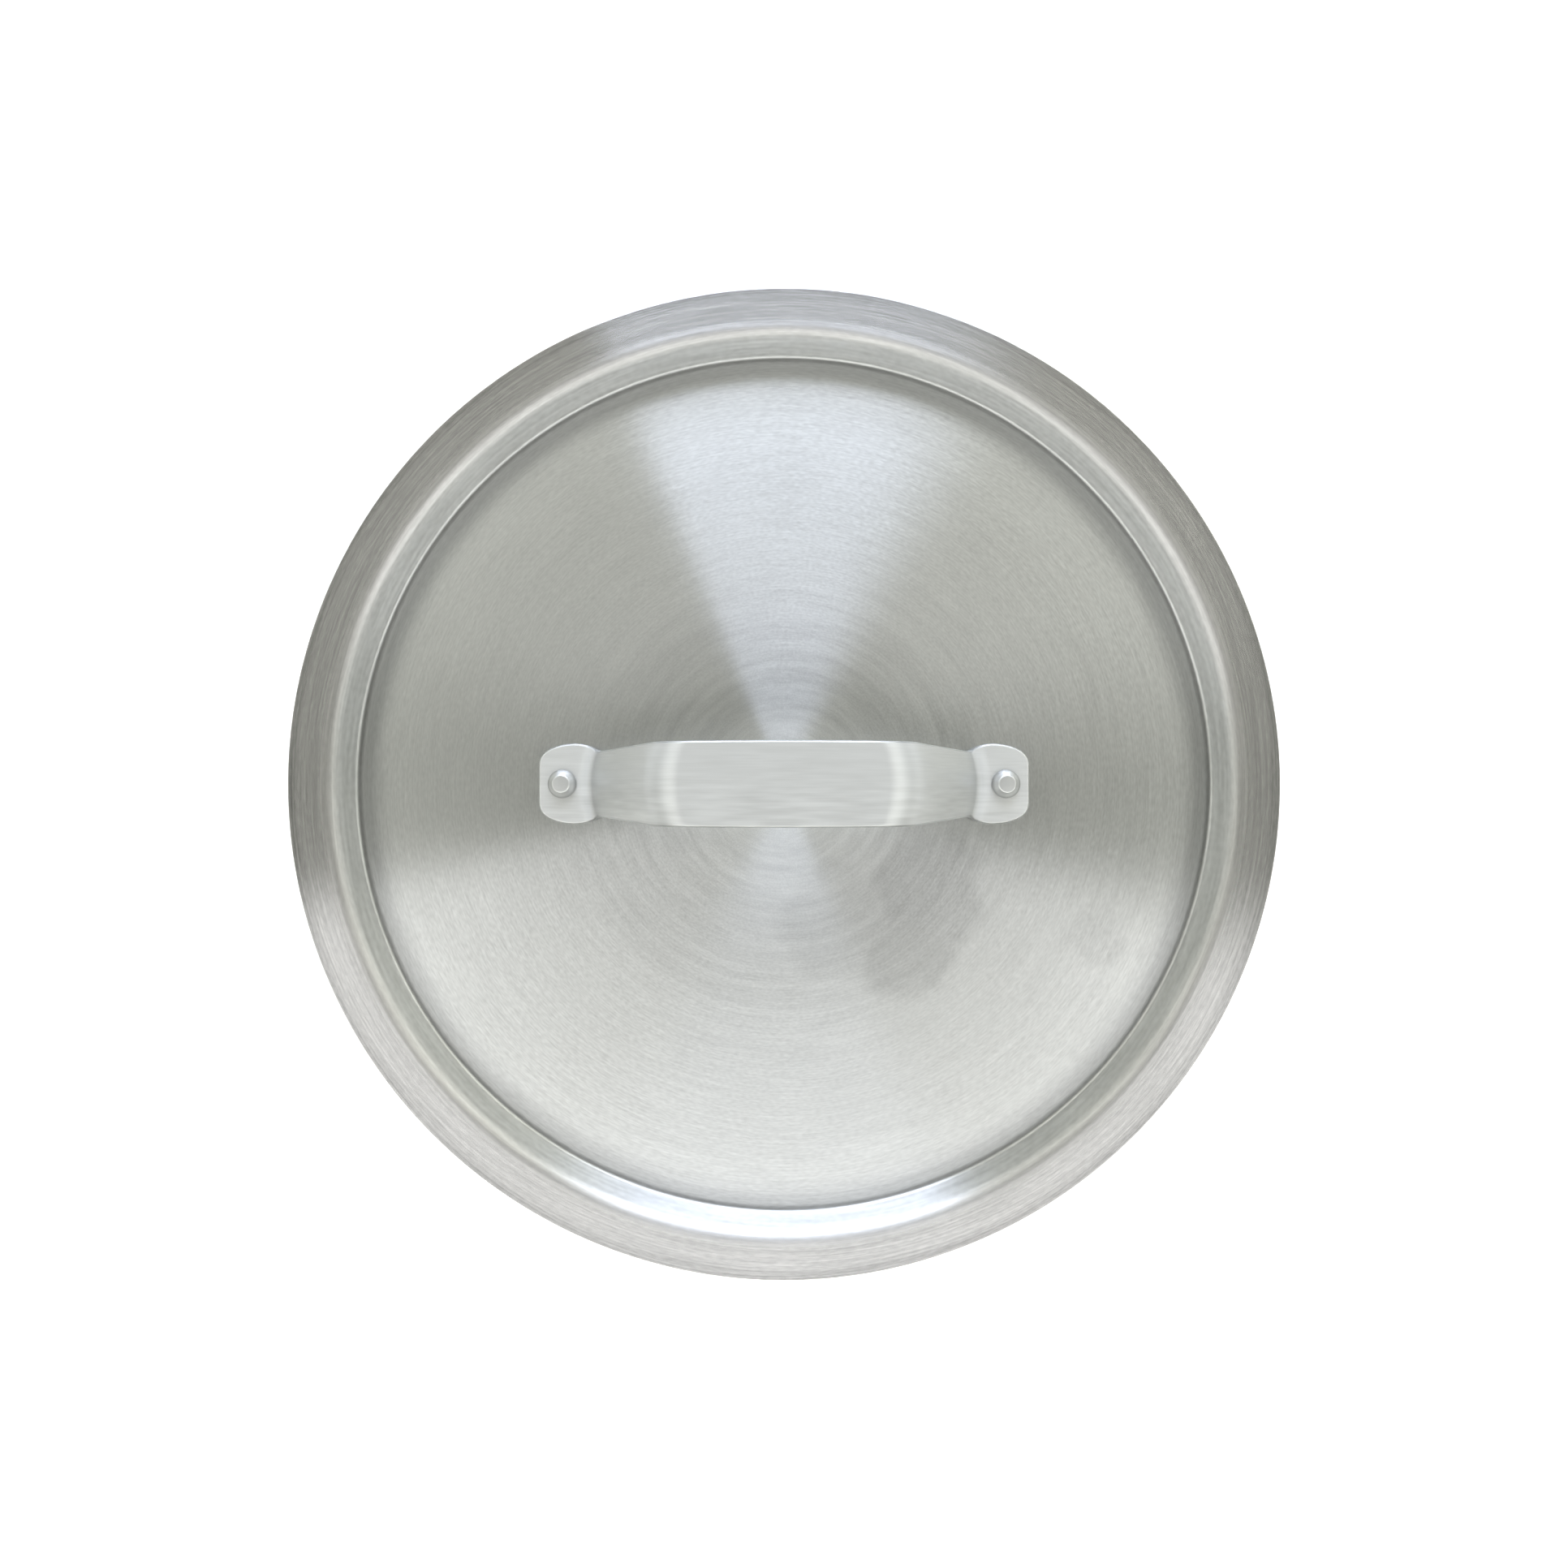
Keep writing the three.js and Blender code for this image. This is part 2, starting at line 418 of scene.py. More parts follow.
def score(tree, shader, across, slope):
    """Leans the surface's normal along the direction across its scratches, by a slope that varies, and lets the
    shine spread that way."""
    normal = add_node(tree, "ShaderNodeNewGeometry").outputs["Normal"]
    lean = add_node(tree, "ShaderNodeVectorMath", {"operation": "SCALE"}, {0: across, "Scale": slope})
    leaned = add_node(tree, "ShaderNodeVectorMath", {"operation": "ADD"}, {0: normal, 1: lean})
    scored = add_node(tree, "ShaderNodeVectorMath", {"operation": "NORMALIZE"}, {0: leaned})
    tree.links.new(scored.outputs["Vector"], shader.inputs["Normal"])
    tree.links.new(across.outputs["Vector"], shader.inputs["Tangent"])


def spun_aluminium(colour, tarnish, foot_radius):
    """Aluminium sheet turned on a lathe and finished with an abrasive held against it: the scratches run round
    the lid, so a lamp is drawn out into a bright fan from the middle to the edge. The finest scratches are under
    0.1 mm apart and are left to the shader's anisotropy. They are too fine to show in the render, so the ones that
    are drawn are as coarse as they need to be to show, 0.5 mm apart, and the tool's feed rings are 2 mm apart. Use
    has left grime on the edge and a tarnished flange. Painted shade darkens the crease at the wall's foot and the
    wall, a painted highlight brightens the shoulder, the middle is painted lighter out to about 115 mm, and a few
    patches on the middle carry a painted dark reflection."""
    satin = 0.30
    material, shader = new_material("spun_aluminium", colour, satin, 1.0)
    tree = material.node_tree
    place = add_node(tree, "ShaderNodeTexCoord").outputs["Object"]
    flat = add_node(tree, "ShaderNodeVectorMath", {"operation": "MULTIPLY"}, {0: place, 1: (1, 1, 0)})
    outward = add_node(tree, "ShaderNodeVectorMath", {"operation": "NORMALIZE"}, {0: flat})
    distance = add_node(tree, "ShaderNodeVectorMath", {"operation": "LENGTH"}, {0: flat}).outputs["Value"]

    # The long and the short scratches, the tool's feed rings and the lines of the rim: how often one changes on its
    # way round, and how far apart they are. The offset keeps the pattern off the noise's own grid.
    patterns = []
    for round_scale, spacing in ((6.4, 0.0005), (60.0, 0.0005), (1.3, 0.0021), (5.3, 0.0005)):
        turned = add_node(tree, "ShaderNodeVectorMath", {"operation": "SCALE"}, {0: outward, "Scale": round_scale})
        ring = add_node(tree, "ShaderNodeMath", {"operation": "DIVIDE"}, {0: distance, 1: spacing})
        offset = add_node(tree, "ShaderNodeCombineXYZ", inputs={"X": 0.37, "Y": 0.61, "Z": ring})
        where = add_node(tree, "ShaderNodeVectorMath", {"operation": "ADD"}, {0: turned, 1: offset})
        noise = add_node(tree, "ShaderNodeTexNoise", inputs={"Vector": where, "Scale": 1.0, "Detail": 0.0})
        patterns.append(add_node(tree, "ShaderNodeMath", {"operation": "SUBTRACT"}, {0: noise, 1: 0.5}))
    long_lines, short_lines, feed_rings, rim_lines = patterns

    # Where things show, from one distance from the middle to another: the tool's feed rings, the painted light that
    # makes the middle lighter round the handle, the tarnished flange, the lines of the wall and flange, their calmer
    # slopes, the wall's greater roughness, and how much smoother the flange is than the wall
    masks = []
    for start, end, at_start, at_end in (
        (0.030, 0.095, 1.0, 0.15),
        (0.050, 0.115, 1.0, 0.0),
        (foot_radius + 0.003, foot_radius + 0.007, 0.0, 1.0),
        (foot_radius, foot_radius + 0.001, 0.0, 1.0),
        (foot_radius + 0.003, foot_radius + 0.007, 1.0, 0.25),
        (foot_radius, foot_radius + 0.003, satin, 0.34),
        (foot_radius + 0.006, foot_radius + 0.011, 0.0, -0.10),
    ):
        span = {"Value": distance, "From Min": start, "From Max": end, "To Min": at_start, "To Max": at_end}
        masks.append(add_node(tree, "ShaderNodeMapRange", {"interpolation_type": "SMOOTHSTEP"}, span))
    feed, painted_middle_light, flange, rim, calm, rougher, smoother = masks
    roughness = add_node(tree, "ShaderNodeMath", {"operation": "ADD"}, {0: rougher, 1: smoother})
    tree.links.new(roughness.outputs["Value"], shader.inputs["Roughness"])
    feed_rings = add_node(tree, "ShaderNodeMath", {"operation": "MULTIPLY"}, {0: feed_rings, 1: feed})
    rim_lines = add_node(tree, "ShaderNodeMath", {"operation": "MULTIPLY"}, {0: rim_lines, 1: rim})

    slope = 0.0
    for lines, height in ((long_lines, 0.04), (short_lines, 0.06), (feed_rings, 0.05)):
        slope = add_node(tree, "ShaderNodeMath", {"operation": "MULTIPLY_ADD"}, {0: lines, 1: height, 2: slope})
    slope = add_node(tree, "ShaderNodeMath", {"operation": "MULTIPLY"}, {0: slope, 1: calm})
    score(tree, shader, outward, slope)

    # Bands that run round the lid, in the crease, up the wall, on the shoulder and on the edge: its distance from the
    # middle, half its width and the share of the light that it swallows. The first two are painted shade in the
    # recess, the third is a painted highlight on the shoulder, with a negative share, and the fourth is grime on the
    # edge.
    painted_shade_and_dirt = []
    for radius, half_width, loss in (
        (foot_radius - 0.0002, 0.0012, 0.30),
        (foot_radius + 0.0026, 0.0042, 0.18),
        (foot_radius + 0.0062, 0.0040, -0.10),
        (0.1602, 0.0052, 0.22),
    ):
        away = add_node(tree, "ShaderNodeMath", {"operation": "SUBTRACT"}, {0: distance, 1: radius})
        away = add_node(tree, "ShaderNodeMath", {"operation": "ABSOLUTE"}, {0: away})
        span = {"Value": away, "From Min": 0.0, "From Max": half_width, "To Min": -loss, "To Max": 0.0}
        painted_shade_and_dirt.append(add_node(tree, "ShaderNodeMapRange", {"interpolation_type": "SMOOTHSTEP"}, span))
    # The patches of painted dark reflection. Their outlines wander by up to about 5 mm, and turn about every 25 mm.
    wander = add_node(tree, "ShaderNodeTexNoise", inputs={"Vector": place, "Scale": 38.0, "Detail": 2.0})
    middle = {0: wander.outputs["Color"], 1: (0.5, 0.5, 0.5)}
    shift = add_node(tree, "ShaderNodeVectorMath", {"operation": "SUBTRACT"}, middle)
    reach = {0: shift, 1: (0.03, 0.03, 0.0), 2: flat}
    shifted = add_node(tree, "ShaderNodeVectorMath", {"operation": "MULTIPLY_ADD"}, reach)
    painted_dark_reflection = 0.0
    for x, y, radius, loss in DARK_REFLECTION_PATCHES:
        away = add_node(tree, "ShaderNodeVectorMath", {"operation": "DISTANCE"}, {0: shifted, 1: (x, y, 0)})
        span = {"Value": away.outputs["Value"], "From Min": radius * 0.7, "From Max": radius * 1.25}
        span.update({"To Min": -loss, "To Max": 0.0})
        patch = add_node(tree, "ShaderNodeMapRange", {"interpolation_type": "SMOOTHSTEP"}, span)
        painted_dark_reflection = add_node(tree, "ShaderNodeMath", {"operation": "MINIMUM"}, {0: painted_dark_reflection, 1: patch})
    painted_shade_and_dirt.append(painted_dark_reflection)

    tone = 1.0
    for part, share in (
        (long_lines, 0.13),
        (short_lines, 0.17),
        (feed_rings, 0.18),
        (rim_lines, 0.28),
        (flange, -0.14),
        # Painted light: the middle is made up to 7 % lighter, fading out between 50 and 115 mm from the axis
        (painted_middle_light, 0.07),
        *((shade_and_dirt_band, 1.0) for shade_and_dirt_band in painted_shade_and_dirt),
    ):
        tone = add_node(tree, "ShaderNodeMath", {"operation": "MULTIPLY_ADD"}, {0: part, 1: share, 2: tone})
    metal = add_node(tree, "ShaderNodeMix", {"data_type": "VECTOR"}, {0: flange, 4: colour, 5: tarnish})
    toned = {0: metal.outputs[1], "Scale": tone}
    toned = add_node(tree, "ShaderNodeVectorMath", {"operation": "SCALE"}, toned)
    tree.links.new(toned.outputs["Vector"], shader.inputs["Base Color"])
    return material


def brushed_strip(colour, bend_place, neck_place, bow_radius):
    """Rolled aluminium strip, brushed along its length before bending: fine straight lines with a soft sheen, darker
    scuffs along the front of the grip, and bends turned matt where the metal stretched. The legs are painted paler
    than the grip with painted light, which the lobes' mask takes back, leaving them a little darker than the grip;
    painted shade dims the highlights on the tight part of the grip's bend, at the neck and on the strip's sideways
    edges, and a faint painted light lies over the grip's bend. The brush's own lines are under 0.1 mm wide, too fine
    to show in the render, and are drawn 0.5 mm wide."""
    satin, matt = 0.52, 0.78
    material, shader = new_material("brushed_aluminium_strip", colour, satin, 0.3)
    tree = material.node_tree
    place = add_node(tree, "ShaderNodeTexCoord").outputs["Object"]
    across = add_node(tree, "ShaderNodeCombineXYZ", inputs={"Y": 1.0})
    sides = add_node(tree, "ShaderNodeSeparateXYZ", inputs={0: place})
    # Distance along the handle, with the bends' bow taken out, and from there the distances to the two bends
    bow = add_node(tree, "ShaderNodeMath", {"operation": "MULTIPLY"}, {0: sides.outputs["Y"], 1: sides.outputs["Y"]})
    along = add_node(tree, "ShaderNodeMath", {"operation": "ABSOLUTE"}, {0: sides.outputs["X"]})
    straight = {0: bow, 1: 1 / (2 * bow_radius), 2: along}
    along = add_node(tree, "ShaderNodeMath", {"operation": "MULTIPLY_ADD"}, straight)
    bend = add_node(tree, "ShaderNodeMath", {"operation": "SUBTRACT"}, {0: along, 1: bend_place})
    bend = add_node(tree, "ShaderNodeMath", {"operation": "ABSOLUTE"}, {0: bend})
    neck = add_node(tree, "ShaderNodeMath", {"operation": "SUBTRACT"}, {0: along, 1: neck_place})
    neck = add_node(tree, "ShaderNodeMath", {"operation": "ABSOLUTE"}, {0: neck})
    facing = add_node(tree, "ShaderNodeNewGeometry").outputs["Normal"]
    facing = add_node(tree, "ShaderNodeSeparateXYZ", inputs={0: facing}).outputs["Y"]
    facing = add_node(tree, "ShaderNodeMath", {"operation": "ABSOLUTE"}, {0: facing})
    # The brush's lines and the scuffs: how long and how wide they are
    patterns = []
    for length, width in ((0.012, 0.0005), (0.014, 0.0018)):
        scale = (1 / length, 1 / width, 1 / length)
        where = add_node(tree, "ShaderNodeVectorMath", {"operation": "MULTIPLY"}, {0: place, 1: scale})
        noise = add_node(tree, "ShaderNodeTexNoise", inputs={"Vector": where, "Scale": 1.0, "Detail": 1.0})
        patterns.append(add_node(tree, "ShaderNodeMath", {"operation": "SUBTRACT"}, {0: noise, 1: 0.5}))
    lines, scuffs = patterns

    # Where things show: the front of the grip, the legs, the lobes, the tight part of the grip's bend and all of it,
    # the bend at the neck, and the edges that face sideways. The legs get painted light, which the lobes take back;
    # the tight part of the bend, the neck and the edges get painted shade over their highlights
    masks = []
    for value, start, end, at_start, at_end in (
        (sides.outputs["Y"], -0.007, 0.005, 1.0, 0.3),
        (along, bend_place - 0.003, bend_place + 0.004, 0.0, 1.0),
        (along, 0.059, 0.066, 0.0, 1.0),
        (bend, 0.0, 0.0030, 1.0, 0.0),
        (bend, 0.0, 0.0070, 1.0, 0.0),
        (neck, 0.0, 0.0045, 1.0, 0.0),
        (facing, 0.25, 0.7, 0.0, 1.0),
    ):
        span = {"Value": value, "From Min": start, "From Max": end, "To Min": at_start, "To Max": at_end}
        masks.append(add_node(tree, "ShaderNodeMapRange", {"interpolation_type": "SMOOTHSTEP"}, span))
    front, legs, lobes, crease, stretch, neck, edges = masks
    scuffs = add_node(tree, "ShaderNodeMath", {"operation": "MULTIPLY"}, {0: scuffs, 1: front})
    roughness = satin
    for part in (stretch, neck):
        rougher = {0: part, 1: matt - satin, 2: roughness}
        roughness = add_node(tree, "ShaderNodeMath", {"operation": "MULTIPLY_ADD"}, rougher)
    tree.links.new(roughness.outputs["Value"], shader.inputs["Roughness"])
    slope = 0.0
    for part, height in ((lines, 0.07), (scuffs, 0.06)):
        slope = add_node(tree, "ShaderNodeMath", {"operation": "MULTIPLY_ADD"}, {0: part, 1: height, 2: slope})
    score(tree, shader, across, slope)

    tone = 0.99
    for part, share in (
        (lines, 0.12),
        (scuffs, 0.36),
        # Painted light on the legs, taken back on the lobes
        (legs, 0.10),
        (lobes, -0.12),
        # Painted shade on the tight part of the bend, the neck and the edges, dimming their highlights; the whole
        # bend gets a faint painted light
        (crease, -0.08),
        (stretch, 0.01),
        (neck, -0.06),
        (edges, -0.30),
    ):
        tone = add_node(tree, "ShaderNodeMath", {"operation": "MULTIPLY_ADD"}, {0: part, 1: share, 2: tone})
    toned = add_node(tree, "ShaderNodeVectorMath", {"operation": "SCALE"}, {0: colour, "Scale": tone})
    tree.links.new(toned.outputs["Vector"], shader.inputs["Base Color"])
    return material


def pressed_aluminium(colour, rivet_place, head_radius):
    """Solid rivets, cold headed and set with a hammer: a soft shine made uneven by shallow dents about 1.4 mm across,
    with painted shade round the outer edge of the head that dims its bright rim."""
    material, shader = new_material("pressed_aluminium", colour, 0.46)
    tree = material.node_tree
    place = add_node(tree, "ShaderNodeTexCoord").outputs["Object"]
    dents = add_node(tree, "ShaderNodeTexNoise", inputs={"Vector": place, "Scale": 700.0, "Detail": 2.0})
    bump = add_node(tree, "ShaderNodeBump", inputs={"Height": dents, "Strength": 0.35, "Distance": 0.0002})
    tree.links.new(bump.outputs[0], shader.inputs["Normal"])

    sides = add_node(tree, "ShaderNodeSeparateXYZ", inputs={0: place})
    # Distance from the middle of the rivet
    along = add_node(tree, "ShaderNodeMath", {"operation": "ABSOLUTE"}, {0: sides.outputs["X"]})
    along = add_node(tree, "ShaderNodeMath", {"operation": "SUBTRACT"}, {0: along, 1: rivet_place})
    offset = add_node(tree, "ShaderNodeCombineXYZ", inputs={"X": along, "Y": sides.outputs["Y"]})
    distance = add_node(tree, "ShaderNodeVectorMath", {"operation": "LENGTH"}, {0: offset}).outputs["Value"]
    # Painted shade: the head darkens to 0.65 over its outer fifth, damping the highlight on its bevel and rim
    span = {"Value": distance, "From Min": head_radius * 0.8, "From Max": head_radius, "To Min": 1.0, "To Max": 0.65}
    painted_rim_shade = add_node(tree, "ShaderNodeMapRange", {"interpolation_type": "SMOOTHSTEP"}, span)
    toned = add_node(tree, "ShaderNodeVectorMath", {"operation": "SCALE"}, {0: colour, "Scale": painted_rim_shade})
    tree.links.new(toned.outputs["Vector"], shader.inputs["Base Color"])
    return material


# ---------------------------------------------------------------- disc


def disc_profile(disc):
    """The sheet's outline from the axis on the underside, round the flange's edge, back to the axis on top."""
    seat_inner = disc.foot_radius - disc.seat_width
    flange_top = DISC_HIGH.z
    foot_centre = (disc.foot_radius, disc.sheet + disc.foot_bend)
    lean = disc.wall_angle
    foot_end_x = foot_centre[0] + disc.foot_bend * math.sin(lean)
    foot_end_z = foot_centre[1] - disc.foot_bend * math.cos(lean)
    shoulder_z = flange_top - disc.shoulder_bend
    wall_top_z = shoulder_z + disc.shoulder_bend * math.cos(lean)
    wall_run = (wall_top_z - foot_end_z) / math.tan(lean)
    shoulder_centre = (foot_end_x + wall_run + disc.shoulder_bend * math.sin(lean), shoulder_z)
    crown_rings = 36
    support = 0.0002  # keeps the bends' shading off the flats beside them

    def face(drop):
        middle = []
        for i in range(crown_rings + 1):
            radius = seat_inner * i / crown_rings
            middle.append((radius, disc.sheet + crown_height(disc, radius) - drop))
        foot = arc(foot_centre, -(disc.foot_bend + drop), 0, -lean, 12)
        shoulder = arc(shoulder_centre, disc.shoulder_bend - drop, -lean, 0, 16)
        flat_z = disc.sheet - drop
        top_z = flange_top - drop
        return [
            *middle,
            (seat_inner + support, flat_z),
            (disc.foot_radius - support, flat_z),
            *foot,
            *shoulder,
            (shoulder_centre[0] + support, top_z),
        ]

    rounding = disc.edge_round
    edge_x = disc.radius - rounding
    upper = arc((edge_x, flange_top - rounding), rounding, 0, math.pi / 2, 6)
    lower = arc((edge_x, flange_top - disc.sheet + rounding), rounding, math.pi / 2, math.pi, 6)
    top = [*face(0), (edge_x - support, flange_top), *upper]
    under = [*face(disc.sheet), (edge_x - support, flange_top - disc.sheet), *reversed(lower)]
    return [*under, *reversed(top)]


class KETTLELID_OT_disc(bpy.types.Operator):
    """Build the spun disc: flange, wall and sunk middle"""

    bl_idname = "kettle_lid.disc"
    bl_label = "Spun disc"

    def execute(self, context):
        settings = context.scene.kettle_lid
        disc = settings.disc
        mesh = turned_mesh("spun_disc", disc_profile(disc), disc.steps)
        piece = new_piece("spun_disc", mesh, spun_aluminium(disc.colour, disc.tarnish, disc.foot_radius))
        drill_rivet_holes(piece, settings.rivet.shank_radius + CONTACT)
        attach(piece, "root")
        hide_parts("lid_disc")
        return {"FINISHED"}


# ---------------------------------------------------------------- handle


def strap_path(handle, disc):
    """The strap's mid-plane for one side, as straight and curved stretches from the middle of the grip.

    Each stretch is (length, tilt at its start, tilt at its end); a tilt is how steeply it runs down."""
    rivet_x = rivet_places()[1]
    half = handle.thickness / 2
    lobe_tilt = math.atan(2 * disc.crown * rivet_x / (disc.foot_radius - disc.seat_width) ** 2)
    lobe_mid = disc.sheet + crown_height(disc, rivet_x) + CONTACT + half / math.cos(lobe_tilt)
    drop = STRAP_HIGH.z - half - lobe_mid
    lean = handle.leg_angle
    grip_radius = handle.grip_bend - half
    neck_radius = handle.neck_bend + half
    bends_run = grip_radius * math.sin(lean) + neck_radius * (math.sin(lean) - math.sin(lobe_tilt))
    bends_drop = grip_radius * (1 - math.cos(lean)) + neck_radius * (math.cos(lobe_tilt) - math.cos(lean))
    slope = math.tan(lobe_tilt)
    lobe_run = rivet_x - handle.grip_bend_start - bends_run
    leg = (drop - bends_drop - lobe_run * slope) / (math.sin(lean) - math.cos(lean) * slope)
    lobe_start = handle.grip_bend_start + bends_run + leg * math.cos(lean)
    lobe = (STRAP_HIGH.x - lobe_start) / math.cos(lobe_tilt)
    return [
        (handle.grip_bend_start, 0, 0),
        (grip_radius * lean, 0, lean),
        (leg, lean, lean),
        (neck_radius * (lean - lobe_tilt), lean, lobe_tilt),
        (lobe, lobe_tilt, lobe_tilt),
    ]


def along_path(path, distance):
    """Place (x, z) and tilt at a distance along the strap's mid-plane from the middle of the grip."""
    x, z = 0.0, 0.0
    for i, (length, start, end) in enumerate(path):
        last = i == len(path) - 1
        step = distance if last else min(distance, length)
        tilt = start + (end - start) * step / length
        if start == end:
            x += step * math.cos(start)
            z -= step * math.sin(start)
        else:
            radius = length / (end - start)
            x += radius * (math.sin(tilt) - math.sin(start))
            z += radius * (math.cos(tilt) - math.cos(start))
        distance -= step
        if distance <= 0:
            break
    return x, z, tilt


def strap_outline(handle, path):
    """One quarter of the flat blank's outline, from the middle of the grip to the middle of a lobe's end."""
    total = sum(length for length, _, _ in path)
    centre = total - (STRAP_HIGH.x - handle.lobe_centre)
    bend = path[0][0] + path[1][0]
    neck = centre - handle.lobe_radius / 2
    corner_centre = total - handle.lobe_corner
    across = corner_centre - centre
    inner = handle.lobe_radius - handle.lobe_corner
    corner_y = math.sqrt(inner**2 - across**2)
    turn_to = math.asin(across / inner)

    def half_width(distance):
        lobe = math.sqrt(max(0.0, handle.lobe_radius**2 - (distance - centre) ** 2))
        if distance < bend:
            taper = handle.grip_half_width
            taper -= (handle.grip_half_width - handle.bend_half_width) * (distance / bend) ** 2
        else:
            share = (distance - bend) / (neck - bend)
            taper = handle.bend_half_width + (handle.neck_half_width - handle.bend_half_width) * share
        return (lobe + taper + math.hypot(lobe - taper, handle.neck_blend)) / 2

    spacing = 0.0008
    steps = int(centre / spacing)
    side = [(centre * i / steps, half_width(centre * i / steps)) for i in range(steps)]
    lobe_arc = arc((centre, 0), handle.lobe_radius, 0, turn_to, 12)
    lobe_arc[0] = (centre, half_width(centre))
    corner_arc = arc((corner_centre, corner_y), handle.lobe_corner, turn_to, math.pi / 2, 14)
    return side + lobe_arc[:-1] + corner_arc


def cut_across(bm, point, normal):
    """Divides every face that a plane crosses."""
    geometry = [*bm.verts, *bm.edges, *bm.faces]
    bmesh.ops.bisect_plane(bm, geom=geometry, dist=1e-7, plane_co=point, plane_no=normal)


def strap_blank(handle, path):
    """The flat strip: its outline given thickness, its edges rounded, and divided where it will bend."""
    quarter = strap_outline(handle, path)
    right = quarter + [(x, -y) for x, y in reversed(quarter)]
    left = [(-x, y) for x, y in reversed(right)]
    outline = right[:-1] + left[:-1]
    half = handle.thickness / 2
    bm = bmesh.new()
    rims = []
    for height in (half, -half):
        rims.append([bm.verts.new((x, y, height)) for x, y in outline])
    bm.faces.new(list(reversed(rims[0])))
    bm.faces.new(rims[1])
    count = len(outline)
    for i in range(count):
        j = (i + 1) % count
        bm.faces.new((rims[0][i], rims[0][j], rims[1][j], rims[1][i]))
    bmesh.ops.recalc_face_normals(bm, faces=bm.faces)
    rim_edges = [edge for edge in bm.edges if abs(edge.verts[0].co.z - edge.verts[1].co.z) < 1e-6]
    bmesh.ops.bevel(
        bm, geom=rim_edges, offset=handle.edge_round, offset_type="OFFSET", segments=5, profile=0.5, affect="EDGES"
    )
    bend_steps, straight_spacing, cuts = 18, 0.003, 12
    start = 0.0
    stations = [0.0]
    for length, tilt_start, tilt_end in path:
        steps = bend_steps if tilt_start != tilt_end else max(2, round(length / straight_spacing))
        stations += [start + length * (i + 1) / steps for i in range(steps)]
        start += length
    for station in stations[:-1]:
        for side in (1, -1):
            cut_across(bm, (side * station, 0, 0), (1, 0, 0))
    widest = handle.lobe_radius - handle.edge_round
    for i in range(-cuts + 1, cuts):
        cut_across(bm, (0, widest * i / cuts, 0), (0, 1, 0))
    return bm


def bend_strap(bm, handle, path):
    """Bends the flat strip along its path, with the legs bowed outward."""
    total = sum(length for length, _, _ in path)
    lobe_from = total - path[-1][0]
    mid_height = STRAP_HIGH.z - handle.thickness / 2
    for vertex in bm.verts:
        distance, y, depth = abs(vertex.co.x), vertex.co.y, vertex.co.z
        side = math.copysign(1, vertex.co.x)
        x, z, tilt = along_path(path, distance)
        share = min(distance / path[0][0], (total - distance) / (total - lobe_from), 1.0)
        bow = max(0.0, share) * y * y / (2 * handle.bow_radius)
        vertex.co = (
            side * (x + depth * math.sin(tilt) - bow * math.cos(tilt if distance > lobe_from else 0)),
            y,
            mid_height + z + depth * math.cos(tilt),
        )


class KETTLELID_OT_handle(bpy.types.Operator):
    """Build the strap handle: punched flat, edges rounded, then bent"""

    bl_idname = "kettle_lid.handle"
    bl_label = "Strap handle"

    def execute(self, context):
        settings = context.scene.kettle_lid
        handle = settings.handle
        path = strap_path(handle, settings.disc)
        bm = strap_blank(handle, path)
        bend_strap(bm, handle, path)
        mesh = bpy.data.meshes.new("bent_strap")
        bm.to_mesh(mesh)
        bm.free()
        mesh.shade_smooth()
        bend_place = handle.grip_bend_start + handle.grip_bend / 2
        neck_place = handle.lobe_centre - handle.lobe_radius / 2
        material = brushed_strip(handle.colour, bend_place, neck_place, handle.bow_radius)
        piece = new_piece("bent_strap", mesh, material)
        drill_rivet_holes(piece, settings.rivet.shank_radius + CONTACT)
        weighted = piece.modifiers.new("flat_faces_flat", "WEIGHTED_NORMAL")
        weighted.mode = "FACE_AREA"
        weighted.weight = 60  # leans the shading well towards the wide faces, away from the rounded edges
        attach(piece, "root")
        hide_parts("strap_handle")
        return {"FINISHED"}


# ---------------------------------------------------------------- rivets


def rivet_profile(rivet, lobe_top, disc_under):
    """One rivet from the axis under its tail to the axis on its head."""
    tail_round, crown_round, rim_round = 0.0003, 0.0007, 0.0005
    undercut = 0.0001  # lets the rim's rounding end just off the lobe
    tail_low = disc_under - CONTACT - rivet.tail_height
    tail_x = rivet.tail_radius - tail_round
    tail = [(0, tail_low), *reversed(arc((tail_x, tail_low + tail_round), tail_round, math.pi / 2, math.pi, 5))]
    tail_top = arc((tail_x, disc_under - CONTACT - tail_round), tail_round, 0, math.pi / 2, 5)
    base = lobe_top + CONTACT
    top = base + rivet.head_height
    bevel_lean = math.atan2(rivet.head_height - rivet.rim, rivet.head_radius - rivet.flat_radius)
    flat_corner = rivet.flat_radius - crown_round * math.tan(bevel_lean / 2)
    crown = arc((flat_corner, top - crown_round), crown_round, bevel_lean, 0, 6)
    rim_turn = math.pi / 2 - bevel_lean
    rim_z = base + rivet.rim - rim_round * math.tan(rim_turn / 2)
    rim = arc((rivet.head_radius - rim_round, rim_z), rim_round, math.pi / 2, bevel_lean, 5)
    return [
        *tail,
        *reversed(tail_top),
        (rivet.shank_radius, disc_under - CONTACT),
        (rivet.shank_radius, base),
        (rivet.head_radius - undercut, base),
        *rim,
        *crown,
        (0, top),
    ]


